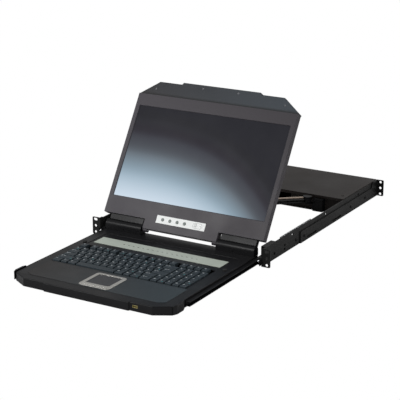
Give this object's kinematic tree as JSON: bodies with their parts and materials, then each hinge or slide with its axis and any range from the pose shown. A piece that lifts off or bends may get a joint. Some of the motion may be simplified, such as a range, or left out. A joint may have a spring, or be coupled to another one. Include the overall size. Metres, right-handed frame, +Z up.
{
  "type": "rackmount lcd console drawer",
  "caption": "Sliding rack drawer with a keyboard, touchpad and fold-up screen in front of a shallow switch chassis on ear-mounted side rails.",
  "frame": {"origin": "centre of the front ears' front face, at mid height, which is the centre of their bolt pattern", "axes": "+X to the right as the user sees it, +Y back into the rack, +Z up"},
  "size_m": [0.4826, 1.0205, 0.3477],
  "materials": {
    "black_steel": "satin powder coat",
    "grey_steel": "satin paint",
    "chassis_paint": "fine powder coat",
    "zinc": "zinc plated",
    "dark_plastic": "fine grained",
    "deck_paint": "satin",
    "palm_plastic": "satin",
    "lid_plastic": "satin",
    "screen": "screen film",
    "key_plastic": "fine grained",
    "strip_plastic": "satin",
    "lamp_plastic": "clear tinted",
    "silver": "satin",
    "white_plastic": "smooth",
    "button_plastic": "satin",
    "soft_rubber": "matt",
    "cable_jacket": "satin",
    "board": "solder mask"
  },
  "bodies": {
    "rack_frame": {"side_rails": "grey_steel", "outer_brackets": "grey_steel", "rail_screws": "black_steel", "vent_strips": "zinc", "slide_outer": "black_steel", "chassis_pan": "chassis_paint", "chassis_cover": "chassis_paint", "port_connectors": "zinc", "power_inlet": "dark_plastic", "switch_board": "board", "power_supply": "zinc", "arm_bracket": "black_steel"},
    "middle_slides": {"slide_middle": "black_steel"},
    "drawer": {"slide_inner": "black_steel", "slide_carriages": "grey_steel", "tray_pan": "black_steel", "tray_arm_bracket": "black_steel", "deck": "deck_paint", "palm_rest": "palm_plastic", "front_bezel": "dark_plastic", "usb_port": "zinc", "touchpad_frame": "silver", "touchpad": "dark_plastic", "keyboard_base": "dark_plastic", "keys_function_row": "key_plastic", "keys_main": "key_plastic", "indicator_strip": "strip_plastic", "indicator_lamps": "lamp_plastic", "deck_bumpers": "soft_rubber", "hinge_barrels": "dark_plastic"},
    "lid": {"lid_cover": "lid_plastic", "lid_bezel": "lid_plastic", "lid_lip": "lid_plastic", "lid_hinge_arms": "dark_plastic", "hinge_pins": "zinc", "lip_screws": "zinc", "lcd_panel": "screen", "lcd_back": "zinc", "osd_plate": "white_plastic", "osd_board": "board", "power_lamp": "lamp_plastic"},
    "upper_arm": {"arm_link_upper": "black_steel", "harness_upper": "cable_jacket"},
    "lower_arm": {"arm_link_lower": "black_steel", "harness_lower": "cable_jacket"},
    "rocker": {"rocker_switch": "dark_plastic"},
    "knob_left": {"release_knob_left": "zinc"},
    "knob_right": {"release_knob_right": "zinc"},
    "catch_left": {"side_catch_left": "dark_plastic"},
    "catch_right": {"side_catch_right": "dark_plastic"},
    "pad_button_left": {"touchpad_button_left": "silver"},
    "pad_button_right": {"touchpad_button_right": "silver"},
    "enter": {"enter_key": "key_plastic"},
    "space": {"space_bar": "key_plastic"},
    "osd_1": {"osd_button_1": "button_plastic"},
    "osd_2": {"osd_button_2": "button_plastic"},
    "osd_3": {"osd_button_3": "button_plastic"},
    "osd_4": {"osd_button_4": "button_plastic"},
    "screen_power": {"screen_power_button": "button_plastic"}
  },
  "joints": [
    {"name": "drawer_slide", "type": "slide", "parent": "rack_frame", "child": "drawer", "axis": [0, 1, 0], "range_m": [0, 0.345]},
    {"name": "middle_slide", "type": "slide", "parent": "rack_frame", "child": "middle_slides", "axis": [0, 1, 0], "range_m": [0, 0.1725]},
    {"name": "upper_arm_hinge", "type": "hinge", "parent": "rack_frame", "child": "upper_arm", "pos_m": [0.126, 0.421, 0.003], "axis": [0, 0, -1], "range_deg": [0, 35.55]},
    {"name": "lower_arm_hinge", "type": "hinge", "parent": "drawer", "child": "lower_arm", "pos_m": [0.126, 0.03, -0.008], "axis": [0, 0, 1], "range_deg": [0, 35.55]},
    {"name": "lid_hinge", "type": "hinge", "parent": "drawer", "child": "lid", "pos_m": [0, 0.0076, 0.01], "axis": [1, 0, 0], "range_deg": [0, 122]},
    {"name": "rocker_tilt", "type": "hinge", "parent": "rack_frame", "child": "rocker", "pos_m": [0.146, 0.639, 0], "axis": [1, 0, 0], "range_deg": [-6, 6]},
    {"name": "knob_left_press", "type": "slide", "parent": "rack_frame", "child": "knob_left", "axis": [-1, 0, 0], "range_m": [0, 0.0013], "stiffness_N_per_m": 400, "springref_m": -0.001},
    {"name": "knob_right_press", "type": "slide", "parent": "rack_frame", "child": "knob_right", "axis": [1, 0, 0], "range_m": [0, 0.0013], "stiffness_N_per_m": 400, "springref_m": -0.001},
    {"name": "catch_left_press", "type": "slide", "parent": "drawer", "child": "catch_left", "axis": [1, 0, 0], "range_m": [0, 0.002], "stiffness_N_per_m": 400, "springref_m": -0.001},
    {"name": "catch_right_press", "type": "slide", "parent": "drawer", "child": "catch_right", "axis": [-1, 0, 0], "range_m": [0, 0.002], "stiffness_N_per_m": 400, "springref_m": -0.001},
    {"name": "pad_button_left_press", "type": "slide", "parent": "drawer", "child": "pad_button_left", "axis": [0, 0, -1], "range_m": [0, 0.0005], "stiffness_N_per_m": 400, "springref_m": -0.001},
    {"name": "pad_button_right_press", "type": "slide", "parent": "drawer", "child": "pad_button_right", "axis": [0, 0, -1], "range_m": [0, 0.0005], "stiffness_N_per_m": 400, "springref_m": -0.001},
    {"name": "enter_press", "type": "slide", "parent": "drawer", "child": "enter", "axis": [0, 0, -1], "range_m": [0, 0.0025], "stiffness_N_per_m": 400, "springref_m": -0.001},
    {"name": "space_press", "type": "slide", "parent": "drawer", "child": "space", "axis": [0, 0, -1], "range_m": [0, 0.0025], "stiffness_N_per_m": 400, "springref_m": -0.001},
    {"name": "osd_1_press", "type": "slide", "parent": "lid", "child": "osd_1", "axis": [0, 0.848, -0.5299], "range_m": [0, 0.0008], "stiffness_N_per_m": 400, "springref_m": -0.001},
    {"name": "osd_2_press", "type": "slide", "parent": "lid", "child": "osd_2", "axis": [0, 0.848, -0.5299], "range_m": [0, 0.0008], "stiffness_N_per_m": 400, "springref_m": -0.001},
    {"name": "osd_3_press", "type": "slide", "parent": "lid", "child": "osd_3", "axis": [0, 0.848, -0.5299], "range_m": [0, 0.0008], "stiffness_N_per_m": 400, "springref_m": -0.001},
    {"name": "osd_4_press", "type": "slide", "parent": "lid", "child": "osd_4", "axis": [0, 0.848, -0.5299], "range_m": [0, 0.0008], "stiffness_N_per_m": 400, "springref_m": -0.001},
    {"name": "screen_power_press", "type": "slide", "parent": "lid", "child": "screen_power", "axis": [0, 0.848, -0.5299], "range_m": [0, 0.0008], "stiffness_N_per_m": 400, "springref_m": -0.001}
  ],
  "couplings": [
    {"joint": "middle_slide", "follows": "drawer_slide", "ratio": 0.5},
    {"joint": "upper_arm_hinge", "follows": "drawer_slide", "rad_per_m": 1.798},
    {"joint": "lower_arm_hinge", "follows": "drawer_slide", "rad_per_m": 1.798}
  ]
}
